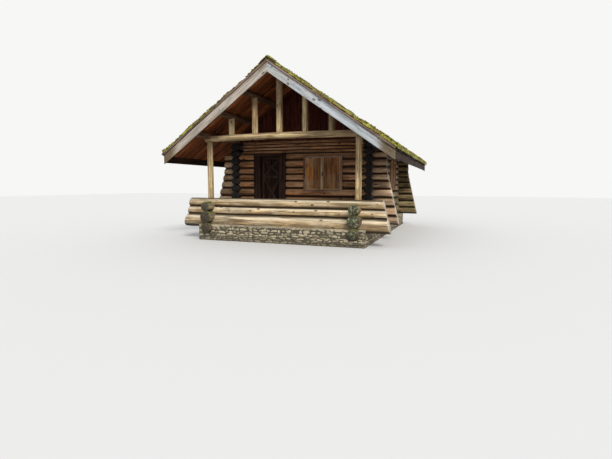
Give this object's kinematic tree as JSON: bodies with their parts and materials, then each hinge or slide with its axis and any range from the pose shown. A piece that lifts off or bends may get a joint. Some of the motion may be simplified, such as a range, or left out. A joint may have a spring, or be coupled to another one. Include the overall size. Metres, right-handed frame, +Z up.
{
  "type": "log cabin",
  "caption": "Rustic round-log cabin on a rubble stone foundation, with an open gabled porch, plank door, shuttered windows and a mossy shake roof",
  "frame": {"origin": "centre of the bounding box at ground level", "axes": "+X to the right seen from the porch, +Y from the porch to the back wall, +Z up"},
  "size_m": [7.8292, 9.91, 5.732],
  "materials": {
    "foundation_stone": "rough rubble in pale mortar",
    "floor_wood": "worn boards",
    "porch_log": "peeled and weathered",
    "wall_log": "peeled, oiled and aged",
    "peeled_pole": "peeled",
    "purlin_wood": "peeled, shaded",
    "gable_board": "dark stained",
    "roof_board": "dark stained",
    "barge_board": "weathered grey",
    "eave_board": "damp and dark",
    "mossy_shake": "split shakes under moss",
    "shutter_board": "oiled boards",
    "window_wood": "oiled",
    "door_frame_wood": "dark stained",
    "door_wood": "dark stained boards",
    "dark_iron": "blackened",
    "worn_steel": "worn bright"
  },
  "bodies": {
    "cabin": {"back_barge_boards": "barge_board", "back_gable": "gable_board", "back_wall_logs": "wall_log", "back_wall_poles": "wall_log", "door_frame_left": "door_frame_wood", "door_frame_right": "door_frame_wood", "door_header": "door_frame_wood", "door_sill": "door_frame_wood", "eave_board_left": "eave_board", "eave_board_right": "eave_board", "front_barge_boards": "barge_board", "front_gable": "gable_board", "front_wall_left_logs": "wall_log", "front_wall_poles": "wall_log", "front_wall_right_logs": "wall_log", "front_wall_sill_log": "wall_log", "front_window_frame": "window_wood", "front_window_shutters": "shutter_board", "hinge_pintles": "dark_iron", "king_post": "peeled_pole", "left_low_logs": "porch_log", "left_porch_post": "peeled_pole", "left_wall_logs": "wall_log", "left_window_frame": "window_wood", "left_window_shutters": "shutter_board", "porch_floor": "floor_wood", "porch_front_logs": "porch_log", "porch_joists": "floor_wood", "purlins": "purlin_wood", "ridge_cap": "mossy_shake", "ridge_purlin": "purlin_wood", "right_low_logs": "porch_log", "right_porch_post": "peeled_pole", "right_wall_logs": "wall_log", "right_window_frame": "window_wood", "right_window_shutters": "shutter_board", "roof_deck_left": "roof_board", "roof_deck_right": "roof_board", "roof_shakes_left": "mossy_shake", "roof_shakes_right": "mossy_shake", "room_floor": "floor_wood", "room_joists": "floor_wood", "short_posts": "peeled_pole", "stone_foundation": "foundation_stone", "tie_beam": "peeled_pole", "wall_plates": "purlin_wood"},
    "door": {"door_leaf": "door_wood", "door_bracing": "door_wood", "door_straps": "dark_iron", "door_handle": "worn_steel"}
  },
  "joints": [
    {"name": "door_hinge", "type": "hinge", "parent": "cabin", "child": "door", "pos_m": [-1.604, -1.977, 1.95], "axis": [0, 0, 1], "range_deg": [0, 95]}
  ]
}
